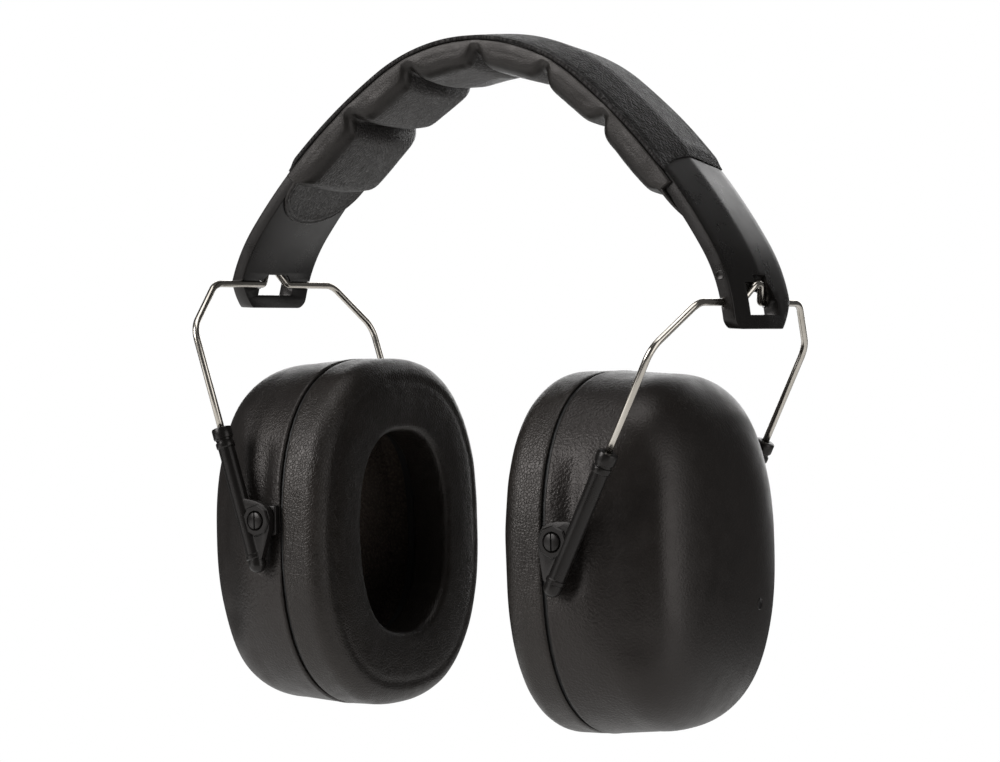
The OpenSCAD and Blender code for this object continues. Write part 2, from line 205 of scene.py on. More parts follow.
def bevel(piece, width, segments=2, angle=35):
    """Rounds the piece's sharp edges; width in millimetres."""
    modifier = piece.modifiers.new("Bevel", "BEVEL")
    modifier.width = width * MM
    modifier.segments = segments
    modifier.limit_method = "ANGLE"
    modifier.angle_limit = math.radians(angle)
    modifier.harden_normals = False
    apply_modifiers(piece)


def cut(piece, tool):
    """Takes the tool's shape out of the piece, and removes the tool."""
    modifier = piece.modifiers.new("Cut", "BOOLEAN")
    modifier.operation = "DIFFERENCE"
    modifier.solver = "EXACT"
    modifier.object = tool
    apply_modifiers(piece)
    bpy.data.objects.remove(tool)


def merge(piece, *others):
    """Adds the other objects' meshes to the piece, and removes them."""
    bm = bmesh.new()
    for part in (piece, *others):
        bm.from_mesh(part.data)
    bm.to_mesh(piece.data)
    bm.free()
    for part in others:
        bpy.data.objects.remove(part)


def coordinates(piece):
    """The piece's points in metres, one row each."""
    flat = np.zeros(len(piece.data.vertices) * 3, np.float32)
    piece.data.vertices.foreach_get("co", flat)
    return flat.reshape(-1, 3).astype(float)


def set_coordinates(piece, points):
    """Moves the piece's points to those places, in metres."""
    piece.data.vertices.foreach_set("co", np.asarray(points, np.float32).ravel())
    piece.data.update()


def smooth_by_angle(piece, degrees=35):
    """Smooth shading, with edges sharper than the angle kept crisp."""
    limit = math.radians(degrees)
    bm = bmesh.new()
    bm.from_mesh(piece.data)
    for face in bm.faces:
        face.smooth = True
    for edge in bm.edges:
        edge.smooth = len(edge.link_faces) < 2 or edge.calc_face_angle(0) < limit
    bm.to_mesh(piece.data)
    bm.free()


def finish_piece(piece, body, material, slot, *nodes):
    """Puts a made piece on its body with its material, in place of the CAD nodes named."""
    piece.data.materials.clear()
    piece.data.materials.append(material)
    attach(piece, body)
    if nodes:
        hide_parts(*nodes)
    return piece


# ---------- cloth ----------

CLOTH_FRAMES = 20


def inflate(piece, free, pressure, cap):
    """Blows the piece up as cloth. free is 1 where a point may move and 0 where it is held;
    no point moves further than cap millimetres."""
    before = coordinates(piece)
    group = piece.vertex_groups.new(name="held")
    for i, value in enumerate(free):
        if value < 1:
            group.add([i], 1 - value, "REPLACE")
    modifier = piece.modifiers.new("Cloth", "CLOTH")
    settings = modifier.settings
    settings.quality = 6
    settings.mass = 0.002
    settings.air_damping = 5
    settings.tension_stiffness = settings.compression_stiffness = 8
    settings.shear_stiffness = 4
    settings.bending_stiffness = 0.02
    settings.vertex_group_mass = group.name
    settings.use_pressure = True
    settings.uniform_pressure_force = pressure
    settings.effector_weights.gravity = 0
    modifier.collision_settings.use_collision = False
    scene = bpy.context.scene
    modifier.point_cache.frame_start = 1
    modifier.point_cache.frame_end = CLOTH_FRAMES
    for step in range(1, CLOTH_FRAMES + 1):
        scene.frame_set(step)
    graph = bpy.context.evaluated_depsgraph_get()
    after = np.array([v.co for v in piece.evaluated_get(graph).data.vertices], float)
    piece.modifiers.clear()
    scene.frame_set(1)
    piece.vertex_groups.clear()
    move = after - before
    length = np.linalg.norm(move, axis=1, keepdims=True)
    limit = cap * MM
    move *= limit * np.tanh(length / limit) / np.maximum(length, 1e-9)
    print(piece.name, "cloth moved up to", round(length.max() / MM, 2), "mm")
    set_coordinates(piece, before + move)


# ---------- materials ----------


class Shader:
    """A node material with a Principled shader, built up from textures."""

    def __init__(self, name, color, roughness, **sockets):
        self.material = bpy.data.materials.new(name)
        self.material.use_nodes = True
        self.tree = self.material.node_tree
        self.bsdf = self.tree.nodes["Principled BSDF"]
        self.set("Base Color", (*color, 1))
        self.set("Roughness", roughness)
        for socket, value in sockets.items():
            self.set(socket.replace("_", " "), value)
        self.height = None

    def set(self, socket, value):
        """Gives one of the shader's own sockets a constant."""
        self.bsdf.inputs[socket].default_value = value

    def node(self, kind, inputs=None, **options):
        """A new node; each input is a socket to link from or a constant."""
        made = self.tree.nodes.new("ShaderNode" + kind)
        for key, value in options.items():
            setattr(made, key, value)
        for key, value in (inputs or {}).items():
            if isinstance(value, bpy.types.NodeSocket):
                self.tree.links.new(value, made.inputs[key])
            else:
                made.inputs[key].default_value = value
        return made

    def link(self, output, socket):
        """Links a node's output to one of the shader's sockets."""
        self.tree.links.new(output, self.bsdf.inputs[socket])

    def place(self, scale=(1, 1, 1), named=None):
        """Texture coordinates in metres: the object's own, or a named attribute's."""
        if named:
            source = self.node("Attribute", attribute_name=named).outputs["Vector"]
        else:
            source = self.node("TexCoord").outputs["Object"]
        mapping = self.node("Mapping", {"Vector": source})
        mapping.inputs["Scale"].default_value = scale
        return mapping.outputs["Vector"]

    def spots(self, vector, size, detail=2.0, rough=0.6):
        """Noise whose features are about size millimetres."""
        inputs = {"Vector": vector, "Scale": 1000 / size, "Detail": detail, "Roughness": rough}
        return self.node("TexNoise", inputs).outputs["Fac"]

    def cells(self, vector, size, feature="F1"):
        """Distances in cells of about size millimetres."""
        inputs = {"Vector": vector, "Scale": 1000 / size, "Randomness": 1.0}
        return self.node("TexVoronoi", inputs, feature=feature).outputs["Distance"]

    def warp(self, vector, size, amount):
        """The vector, pushed about by noise by up to amount millimetres."""
        wave = self.node("TexNoise", {"Vector": vector, "Scale": 1000 / size, "Detail": 1.0})
        centred = self.node("VectorMath", {0: wave.outputs["Color"], 1: (0.5, 0.5, 0.5)},
                            operation="SUBTRACT").outputs[0]
        inputs = {0: centred, 1: (2 * amount * MM,) * 3, 2: vector}
        return self.node("VectorMath", inputs, operation="MULTIPLY_ADD").outputs[0]

    def ramp(self, value, *stops):
        """Colour ramp through (position, colour or grey) stops."""
        made = self.node("ValToRGB", {"Fac": value})
        elements = made.color_ramp.elements
        while len(elements) < len(stops):
            elements.new(0.5)
        for element, (position, color) in zip(elements, stops):
            element.position = position
            element.color = (*color, 1) if hasattr(color, "__len__") else (color,) * 3 + (1,)
        return made.outputs["Color"]

    def bump(self, height, depth, strength=1.0):
        """Adds a height, depth millimetres deep, on top of what is there."""
        inputs = {"Height": height, "Distance": depth * MM, "Strength": strength}
        if self.height is not None:
            inputs["Normal"] = self.height
        self.height = self.node("Bump", inputs).outputs["Normal"]
        self.link(self.height, "Normal")

    def tint(self, value, dark, light, low=0.3, high=0.7, shade=None):
        """Colour from dark to light; shade is a second, grey colour of painted shade that
        multiplies it.
        """
        color = self.ramp(value, (low, dark), (high, light))
        if shade is not None:
            color = self.node("VectorMath", {0: color, 1: shade}, operation="MULTIPLY").outputs[0]
        self.link(color, "Base Color")

    def gloss(self, value, low_rough, high_rough, low=0.3, high=0.7):
        """Roughness from low_rough to high_rough."""
        self.link(self.ramp(value, (low, low_rough), (high, high_rough)), "Roughness")


def satin_plastic():
    """Injection-moulded bow and arms: smooth, with faint flow marks and handling wear."""
    s = Shader("satin_black_plastic", (0.0070, 0.0061, 0.0057), 0.29, Specular_IOR_Level=0.35,
               Specular_Tint=(1, 0.95, 0.93, 1))
    at = s.place()
    s.tint(s.spots(at, 28), (0.0058, 0.0051, 0.0047), (0.0084, 0.0075, 0.0070))
    s.gloss(s.spots(at, 9, 4.0), 0.25, 0.34)
    s.bump(s.spots(at, 0.55, 3.0), 0.012, 0.5)
    s.bump(s.spots(s.place((1, 1, 0.35)), 14), 0.06, 0.5)
    return s.material


def shell_plastic():
    """Matte plastic with a fine spark-eroded grain, stronger on the side wall than on the dome."""
    s = Shader("grained_black_plastic", (0.0090, 0.0073, 0.0063), 0.42, Specular_IOR_Level=0.45,
               Specular_Tint=(1, 0.93, 0.90, 1))
    at = s.place()
    s.tint(s.spots(at, 30), (0.0075, 0.0060, 0.0052), (0.0105, 0.0086, 0.0075))
    s.gloss(s.spots(at, 6, 3.0), 0.35, 0.45)
    grain = s.spots(s.warp(at, 1.4, 0.25), 0.7, 2.0, 0.55)
    wall = s.node("Attribute", attribute_name="grain").outputs["Fac"]
    inputs = {"Height": grain, "Distance": 0.22 * MM, "Strength": wall}
    s.height = s.node("Bump", inputs).outputs["Normal"]
    s.bump(s.spots(at, 22), 0.12, 0.4)
    return s.material


def leatherette(name, color, rough, grain, depth, painted_crease_shade, along=None, stretch=1.0, crumple=0.0,
                shine=0.42):
    """Coated cloth: rounded pebbles between narrow creases, with soft crumples under them.
    grain is the pebbles' size and depth their height in millimetres; the argument after depth is
    painted shade, how dark the creases between pebbles are painted, from 0 for black to 1 for no
    darker than the rest. The pebbles lie by the attribute named along, and are stretch times longer
    in its X; crumple is in millimetres."""
    s = Shader(name, color, rough, Specular_IOR_Level=shine, Specular_Tint=(1, 0.94, 0.91, 1))
    at = s.place((1 / stretch, 1, 1), along)
    bent = s.warp(at, grain * 2.5, grain * 0.4)
    edges = s.cells(bent, grain, "DISTANCE_TO_EDGE")
    pebbles = s.ramp(edges, (0.0, 0.0), (0.16, 0.75), (0.4, 1.0))
    patches = s.spots(at, 18, 3.0)
    # The creases between pebbles are painted darker: painted shade, multiplied into the colour.
    s.tint(patches, tuple(0.8 * c for c in color), tuple(1.3 * c for c in color),
           shade=s.ramp(edges, (0.0, painted_crease_shade), (0.2, 1.0)))
    s.gloss(s.spots(at, 3, 3.0), rough - 0.05, rough + 0.07)
    if crumple:
        s.bump(s.spots(s.place((0.6, 1, 1), along), 8, 2.0, 0.45), crumple, 0.7)
    s.bump(pebbles, depth, 1.0)
    s.bump(s.spots(at, grain * 0.6), depth * 0.12, 0.7)
    return s.material


def foam(name, color):
    """Open-cell foam: dark pores between bright struts, the pores' darkness being painted shade in
    the hollows.
    """
    s = Shader(name, color, 0.95, Specular_IOR_Level=0.15)
    at = s.place()
    pores = s.cells(s.warp(at, 2.0, 0.4), 0.9)
    # The pores are painted darker and the struts lighter: painted shade in the hollows.
    s.tint(pores, tuple(1.15 * c for c in color), tuple(0.7 * c for c in color), 0.1, 0.6)
    s.bump(pores, -0.35, 1.0)
    return s.material


def steel():
    """Bright drawn stainless wire with fine lengthwise die marks."""
    s = Shader("stainless_wire", (0.60, 0.57, 0.53), 0.2, Metallic=1.0)
    s.gloss(s.spots(s.place((1, 1, 0.15)), 4, 2.0), 0.15, 0.24)
    s.tint(s.spots(s.place(), 12), (0.50, 0.465, 0.41), (0.64, 0.60, 0.545))
    s.bump(s.spots(s.place((1, 1, 0.15)), 1.2), 0.002, 0.5)
    return s.material


def dull_plastic():
    """The cushion plates, in the shade between shell and cushion."""
    s = Shader("dull_black_plastic", (0.008, 0.0078, 0.0075), 0.6)
    s.bump(s.spots(s.place(), 0.8, 2.0), 0.04, 0.5)
    return s.material


MATERIAL = {
    "satin": satin_plastic(),
    "shell": shell_plastic(),
    "plate": dull_plastic(),
    "wire": steel(),
    "foam": foam("acoustic_foam", (0.11, 0.088, 0.072)),
    # The sixth number of each leatherette is its painted shade in the creases between pebbles.
    "grained": leatherette("pebbled_leatherette", (0.013, 0.0121, 0.0121), 0.48, 1.4, 0.18, 0.3,
                           "along", shine=0.25),
    "side": leatherette("smooth_leatherette", (0.012, 0.0108, 0.0098), 0.36, 0.9, 0.018, 0.85,
                        "along", crumple=0.32, shine=0.36),
    "pillow": leatherette("combed_leatherette", (0.023, 0.0211, 0.0204), 0.36, 0.85, 0.11, 0.45,
                          "along", 2.4),
    "cushion": leatherette("cushion_leatherette", (0.0125, 0.0102, 0.0085), 0.38, 0.9, 0.06, 0.7,
                           crumple=0.2),
}

# ---------- the bow's line ----------


def bow_at(s):
    """x, z and slope of the bow's outer edge, s millimetres down from the crown."""
    x, z, a = 0.0, BOW_TOP, 0.0
    for radius, sweep in BOW_ARCS:
        turn = min(math.radians(sweep), s / radius)
        b = a + turn
        x += radius * (math.sin(b) - math.sin(a))
        z -= radius * (math.cos(a) - math.cos(b))
        a = b
        s -= radius * turn
        if turn < math.radians(sweep):
            return x, z, a
    return x + s * math.cos(a), z - s * math.sin(a), a


def bow_point(s, y, depth):
    """Point at distance s along the bow and depth towards the head."""
    x, z, a = bow_at(abs(s))
    return (math.copysign(1, s) * (x - depth * math.sin(a)), y, z - depth * math.cos(a))


def ease(t):
    """0 to 1 with flat ends."""
    t = min(max(t, 0.0), 1.0)
    return t * t * (3 - 2 * t)


# ---------- shared shapes ----------


def oval(count, half_w, half_h):
    """The cups' rounded oval outline as (y, z) points."""
    t = np.arange(count) * 2 * math.pi / count
    c, s = np.cos(t), np.sin(t)
    return np.stack([half_w * np.sign(c) * np.abs(c) ** (2 / CUP_N),
                     half_h * np.sign(s) * np.abs(s) ** (2 / CUP_N)], 1)


def lathe(profile, sides=48):
    """Points and faces of a solid of revolution about +Z, from (radius, height) points."""
    t = np.arange(sides) * 2 * math.pi / sides
    rings = [np.stack([r * np.cos(t), r * np.sin(t), np.full(sides, h)], 1) for r, h in profile]
    return np.concatenate(rings), loft_faces(len(profile), sides)


def prism(outline, low, high):
    """Points and faces of an outline of (a, b) points raised along the third axis."""
    flat = np.asarray(outline, float)
    rings = [np.column_stack([flat, np.full(len(flat), h)]) for h in (low, high)]
    return np.concatenate(rings), loft_faces(2, len(flat))


def join(*parts):
    """One set of points and faces from several."""
    points, faces, base = [], [], 0
    for part_points, part_faces in parts:
        points.append(part_points)
        faces += [tuple(base + i for i in face) for face in part_faces]
        base += len(part_points)
    return np.concatenate(points), faces


def wave(points, size, seed):
    """Smooth noise from -1 to 1 at each point; size is in millimetres."""
    return np.array([noise.noise(Vector(p) / size + Vector((seed, 2.3 * seed, 0))) for p in points])


def along_normals(piece, amounts):
    """Moves each point along its normal by that many millimetres."""
    normals = np.zeros(len(piece.data.vertices) * 3, np.float32)
    piece.data.vertex_normals.foreach_get("vector", normals)
    moves = normals.reshape(-1, 3) * (np.asarray(amounts) * MM)[:, None]
    set_coordinates(piece, coordinates(piece) + moves)


# ---------- headband ----------


def bow_outline():
    """Section of the bow as (y, depth) points, with its corners and its ridge rounded."""
    corner = 0.35
    arc = [(corner * (1 - math.cos(a)), corner * (1 - math.sin(a)))
           for a in np.radians([0, 30, 60, 90])]
    outer = [(-BOW_HALF + x, y) for x, y in arc]
    ridge = [(y, -BOW_RIDGE * (1 - (math.hypot(y, 0.8) - 0.8) / (BOW_HALF - 0.8)))
             for y in (-14, -10, -6, -4, -2.5, -1.5, -0.8, 0, 0.8, 1.5, 2.5, 4, 6, 10, 14)]
    inner = [(BOW_HALF - x, BOW_T - y) for x, y in arc]
    far = [(BOW_HALF - x, y) for x, y in reversed(arc)]
    near = [(-BOW_HALF + x, BOW_T - y) for x, y in reversed(arc)]
    return outer + ridge + far + inner + near


def end_frame(side, points):
    """From a bow end's own frame, with its origin on the folding axis, to the shared frame."""
    p = np.asarray(points, float)
    turn = np.array([side.sign, side.sign, 1.0])
    return p * turn + side.axis


def corner_cutter(k, radius, flat):
    """Outline beyond one rounded lower corner of the bow; k is the corner's side, and flat turns
    its curve from an arc at 0 towards a straight cut at 1."""
    edge, low, past = k * BOW_HALF, -BOW_LIP, k * (BOW_HALF + 2)
    arc = [(edge - k * radius * ((1 - math.cos(t * math.pi / 2)) * (1 - flat) + t * flat),
            low + radius * ((1 - math.sin(t * math.pi / 2)) * (1 - flat) + (1 - t) * flat))
           for t in np.linspace(0, 1, 9)]
    return arc + [(edge - k * radius, low - 1), (past, low - 1), (past, low + radius)]


def bow_cutters(side):
    """Solids taken out of a bow end: the window, what is below its level end, the corners, and
    the wire's groove with the crank's seat and the slot that the wire is pressed in through."""
    outside = [(-8.8, -3.2), (7.8, -3.2), (7.8, 0.4), (3.6, 5.6), (-8.8, 5.6)]
    inside = [(-6.1, -3.2), (6.1, -3.2), (7.5, -0.3), (6.7, 1.4), (4.9, 2.9), (-4.9, 2.9),
              (-6.7, 1.4), (-7.5, -0.3)]
    level = [(-18, -BOW_LIP - 2), (18, -BOW_LIP - 2), (18, -BOW_LIP), (-18, -BOW_LIP)]
    solids = [prism(outside, 0, 8), prism(inside, -6, 0.5), prism(level, -15, 15),
              prism(corner_cutter(1, 8, 0.75), -14, 14), prism(corner_cutter(-1, 3.5, 0), -14, 14)]
    solids = [(points[:, [2, 0, 1]], faces) for points, faces in solids]
    lean = math.atan2(abs(side.up[0]), abs(side.up[2]))
    seat = (CRANK_H * math.sin(lean), CRANK_H * math.cos(lean))
    for (x, z), radius, half in (((0, 0), GROOVE_R, 19), (seat, SEAT_R, SEAT_HALF)):
        points, faces = lathe([(radius, -half), (radius, half)], 40)
        solids.append((np.stack([points[:, 0] + x, points[:, 2], points[:, 1] + z], 1), faces))
    points, faces = prism([(-6, -GROOVE_R), (0, -GROOVE_R), (0, GROOVE_R), (-6, GROOVE_R)], -19, 19)
    solids.append((points[:, [0, 2, 1]], faces))
    return [(end_frame(side, points), faces) for points, faces in solids]


def make_bow():
    """The plastic bow, swept along its line, with both ends cut out."""
    outline = bow_outline()
    arcs = sum(r * math.radians(a) for r, a in BOW_ARCS)
    _, height, slope = bow_at(arcs)
    half = arcs + (height + BOW_DROP) / math.sin(slope)
    rings = [[bow_point(s, y, depth) for y, depth in outline]
             for s in np.linspace(-half, half, BOW_RINGS)]
    piece = add_mesh("headband_bow_shape", np.concatenate(rings),
                     loft_faces(len(rings), len(outline)))
    for side in SIDES:
        for number, (points, faces) in enumerate(bow_cutters(side)):
            cut(piece, add_mesh("cutter_%s_%d" % (side.name, number), points, faces))
    bevel(piece, 0.22, 2, 40)
    smooth_by_angle(piece, 42)
    return finish_piece(piece, "headband", MATERIAL["satin"], "bow", "headband_bow")


def on_bow(y):
    """Depth of a sheet that lies on the bow's ridged outer face."""
    return -1.15 * (1 - min(abs(y), SLEEVE_HALF) / SLEEVE_HALF) - 0.04


def make_top_cover():
    """Grained sheet pulled over the bow, sealed to the inner cover along both edges. Its section
    runs over the outer face, round one welt, back along the bow and round the other welt."""
    welt = [(0.12, -0.25), (0.17, 0.05), (0.12, 0.35), (0.0, 0.55)]
    outline = [(y, -2.25 + 1.65 * (math.hypot(y, 1.2) - 1.2) / 17.2
                + 0.25 * ease((abs(y) - 15.9) / 0.7) - 0.2 * ease((abs(y) - 16.9) / 0.6))
               for y in np.linspace(-PAD_HALF, PAD_HALF, 37)]
    outline += [(PAD_HALF + out, depth) for out, depth in welt] + [(SLEEVE_HALF, 0.55)]
    outline += [(y, on_bow(y)) for y in np.linspace(SLEEVE_HALF, -SLEEVE_HALF, 9)]
    outline += [(-SLEEVE_HALF, 0.55)] + [(-PAD_HALF - out, depth) for out, depth in reversed(welt)]
    points, along = [], []
    for q in np.linspace(-1, 1, BOW_RINGS):
        front, rear = 7.0 if q < 0 else 5.0, 2.9     # reach of the end's corners past its middle
        for y, depth in outline:
            reach = COVER_END + (front if y < 0 else rear) * (y / PAD_HALF) ** 2
            slim = ease(1 - (1 - abs(q)) * reach / 4.5) * 0.8
            flat = math.copysign(min(abs(y), SLEEVE_HALF), y)
            lower = (on_bow(y) - depth) * slim if depth < on_bow(y) else 0
            points.append(bow_point(q * reach, y + (flat - y) * slim, depth + lower))
            along.append((q * reach * MM, y * MM, 0))
    piece = add_mesh("headband_top_sheet", points, loft_faces(BOW_RINGS, len(outline)))
    attribute(piece, "along", along)
    along_normals(piece, wave(points, 16, 3) * 0.10)
    return finish_piece(piece, "headband", MATERIAL["grained"], "grained_leatherette",
                        "headband_top_cover")


def pillow_rise(s, y):
    """How full the cushion is at that place, from 0 in a notch to 1."""
    for start, end in zip(PILLOW_ENDS, PILLOW_ENDS[1:]):
        if start <= s <= end:
            edge = min(s - start, end - s) - 1.5 * (abs(y) / PAD_HALF) ** 3
            middle = math.sin(math.pi * (s - start) / (end - start))
            return math.tanh(max(edge, 0) / 2.3) ** 0.8 * (0.88 + 0.12 * middle)
    return 0.0


def pad_section(s):
    """Section of the inner cover at s as (y, depth, free) points; free is 1 where cloth may
    move. It runs down one side, round the cushion's edge, over its crown and back on the bow."""
    half, seam = [], 0.58
    side, edge, centre = (pillow_rise(s, y) for y in (PAD_HALF, CROWN_HALF, 0))
    low = 2.4 + 2.6 * ease((abs(s) - 66) / 9)
    side_d = low + (6.4 - low) * side
    edge_d = 5 + 4.2 * edge
    centre_d = 5 + 5.3 * centre
    for f in np.linspace(0, 1, 8)[:-1]:
        y = PAD_HALF - 0.1 + 0.2 * math.sin(math.pi * f)
        half.append((y, seam + (side_d - seam) * f, side * ease(2 * f)))
    for f in np.linspace(0, 1, 7)[:-1]:
        y = (1 - f) ** 2 * (PAD_HALF - 0.1) + 2 * f * (1 - f) * 17.4 + f * f * CROWN_HALF
        depth = (1 - f) ** 2 * side_d + 2 * f * (1 - f) * (edge_d - 0.9) + f * f * edge_d
        half.append((y, depth, edge))
    for y in np.linspace(CROWN_HALF, 0, 12):
        full = 1 - (y / CROWN_HALF) ** 2
        half.append((y, edge_d + (centre_d - edge_d) * full, edge + (centre - edge) * full))
    other = [(-y, depth, free) for y, depth, free in reversed(half[:-1])]
    inner = BOW_T + 0.06
    back = [(-SLEEVE_HALF, seam, 0), (-SLEEVE_HALF, inner, 0), (SLEEVE_HALF, inner, 0),
            (SLEEVE_HALF, seam, 0)]
    return half + other + back


def pad_stations():
    """Distances along the bow, closer together beside the notches."""
    steps = np.array([0, 0.5, 1.0, 1.6, 2.3, 3.2, 4.3])
    stations = []
    for start, end in zip(PILLOW_ENDS, PILLOW_ENDS[1:]):
        middle = np.linspace(start + 5.6, end - 5.6, 11)
        stations += [*(start + steps), *middle, *(end - steps[:0:-1])]
    return stations + [PILLOW_ENDS[-1]]


def make_pad_cover():
    """Inner sheet with six stuffed cushions, blown up as cloth between its held seams."""
    stations = pad_stations()
    sections = [pad_section(s) for s in stations]
    size = len(sections[0])
    points = [bow_point(s, y, d) for s, section in zip(stations, sections) for y, d, _ in section]
    free = np.array([f for section in sections for _, _, f in section])
    piece = add_mesh("headband_cushions", points, loft_faces(len(sections), size))
    along = np.array([(s, y, d) for s, section in zip(stations, sections) for y, d, _ in section])
    attribute(piece, "along", along * MM)
    inflate(piece, free, pressure=1.6, cap=1.0)
    swell = wave(points, 11, 5) * 0.28 + wave(points, 5, 9) * 0.10
    along_normals(piece, swell * free)
    finish_piece(piece, "headband", MATERIAL["pillow"], "smooth_leatherette",
                 "headband_pad_cover", "headband_foam")
    piece.data.materials.append(MATERIAL["side"])
    across = np.abs(along[:, 1])
    for face in piece.data.polygons:
        face.material_index = int(min(across[i] for i in face.vertices) > CROWN_HALF + 0.2)
    subdivide(piece)
    return piece


def make_tab(side):
    """Rounded end of the inner sheet, flat on the bow, with a raised double rim: (inset, depth)
    points from the tab's back over its rim and inwards."""
    rim = [(0.5, 3.87), (0.0, 4.0), (0.0, 4.4), (0.2, 4.7), (0.6, 4.85), (1.0, 4.78), (1.25, 4.66),
           (1.55, 4.8), (1.9, 4.86), (2.4, 4.8), (3.0, 4.72), (5, 4.72), (8, 4.75), (11, 4.75),
           (14.3, 4.75)]
    start, end = PILLOW_ENDS[-1], TAB_END
    count = 41
    points, along = [], []
    for inset, depth in rim:
        reach, width = end - start - inset, PAD_HALF - 0.1 - inset
        curve = [(start - 1, -width)]
        curve += [(start + reach * math.cos(a), width * math.sin(a))
                  for a in np.linspace(-math.pi / 2, math.pi / 2, count - 2)]
        curve += [(start - 1, width)]
        for s, y in curve:
            points.append(bow_point(side.sign * s, y, depth))
            along.append((s * MM, y * MM, 0))
    faces = []
    for k in range(len(rim) - 1):
        for i in range(count - 1):
            a, b = k * count + i, (k + 1) * count + i
            faces.append((a, a + 1, b + 1, b))
    faces.append(tuple(range(count)))
    faces.append(tuple(range((len(rim) - 1) * count, len(rim) * count)))
    faces.append(tuple(k * count for k in range(len(rim))))
    faces.append(tuple(k * count + count - 1 for k in range(len(rim))))
    piece = add_mesh(side.name + "_cover_tab", points, faces)
    attribute(piece, "along", along)
    smooth_by_angle(piece, 60)
    return finish_piece(piece, "headband", MATERIAL["pillow"], "smooth_leatherette",
                        "headband_pad_cover")


# ---------- yokes and arms ----------


def rounded_path(corners, radii):
    """Points along a line through (y, z) corners, with each bend rounded to its radius."""
    p = np.array(corners, float)
    path = [p[0]]
    for before, here, after, r in zip(p, p[1:], p[2:], radii):
        a, b = ((end - here) / np.linalg.norm(end - here) for end in (before, after))
        half = math.acos(np.dot(a, b)) / 2
        reach = r / math.tan(half)
        centre = here + (a + b) / np.linalg.norm(a + b) * r / math.sin(half)
        start, end = here + a * reach - centre, here + b * reach - centre
        sweep = math.pi - 2 * half
        for f in np.linspace(0, 1, 13):
            mix = (math.sin((1 - f) * sweep) * start + math.sin(f * sweep) * end) / math.sin(sweep)
            path.append(centre + mix)
    return np.array(path + [p[-1]])


def make_yoke(side):
    """Wire yoke: a crank in the middle of its straight run, two shoulders and two legs."""
    half = [(0, CRANK_H + 0.9), (CRANK_FOOT, 0), (RUN_HALF, 0), (LEG_Y, -SHOULDER_DROP),
            (LEG_Y, -ARM_FROM - WIRE_IN_ARM)]
    corners = [(-y, z) for y, z in reversed(half[1:])] + half
    radii = [BEND_R, BEND_R, CRANK_BEND, CRANK_TIP_R, CRANK_BEND, BEND_R, BEND_R]
    path = rounded_path(corners, radii)
    along = np.gradient(path, axis=0)
    along /= np.linalg.norm(along, axis=1, keepdims=True)
    across = np.stack([-along[:, 1], along[:, 0]], 1)
    turns = np.arange(20) * 2 * math.pi / 20
    rings = []
    for centre, normal in zip(path, across):
        y = centre[0] + WIRE_R * np.cos(turns) * normal[0]
        z = centre[1] + WIRE_R * np.cos(turns) * normal[1]
        rings.append(np.stack([WIRE_R * np.sin(turns), y, z], 1))
    points = side.yoke(np.concatenate(rings))
    piece = add_mesh(side.name + "_yoke_wire", points, loft_faces(len(path), len(turns)))
    return finish_piece(piece, side.name + "_yoke", MATERIAL["wire"], "wire", side.name + "_yoke")


def arm_tube():
    """The arm's tube, with its collars and its round lower end, about +Z from its upper end."""
    bead = [(ARM_R + 0.05, -37.5), (ARM_R + 0.35, -37.8), (ARM_R + 0.35, -38.7),
            (ARM_R + 0.05, -39)]
    ball = [(2.6 * math.cos(a), -40.4 - 2.6 * math.sin(a))
            for a in np.radians([5, 25, 45, 62, 76, 88])]
    profile = [(BORE_R, -BORE_DEPTH), (BORE_R, -0.3), (1.4, 0), (2.3, 0), (2.75, -0.18),
               (2.9, -0.6), (2.9, -2.9), (2.78, -3.3), (2.45, -3.45), (2.38, -3.8), (2.42, -4.15),
               (2.7, -4.35), (2.75, -4.7), (2.75, -5.6), (2.66, -5.95), (ARM_R, -6.15),
               (ARM_R, -20)] + bead + ball
    return lathe(profile)


def arm_web():
    """Plate between the tube and the eyelet."""
    outline = [(4.5, 7.2), (1.8, 7), (-1.4, 5.3), (-3.6, 3.6), (-4.7, 1.6), (-4.7, -0.6),
               (-3.4, -3.6), (1.6, -10.6), (4.5, -11)]
    back, front, _ = PLATE_Y
    return prism(outline, back, front)


def arm_eyelet():
    """Eight-sided boss round the stud's hole, with a countersink."""
    count = 48
    turns = np.arange(count) * 2 * math.pi / count
    flat = np.abs((turns + math.pi / 8) % (math.pi / 4) - math.pi / 8)
    eight = 4.25 / np.cos(flat)
    hole = np.full(count, EYE_R)
    back, _, front = PLATE_Y
    section = [(eight, back), (eight, front - 0.35), (eight - 0.35, front), (hole + 0.42, front),
               (hole, front - 0.5), (hole, back)]
    rings = [np.stack([r * np.cos(turns), r * np.sin(turns), np.full(count, h)], 1)
             for r, h in section]
    return np.concatenate(rings), loft_faces(len(section), count, wrap=True)


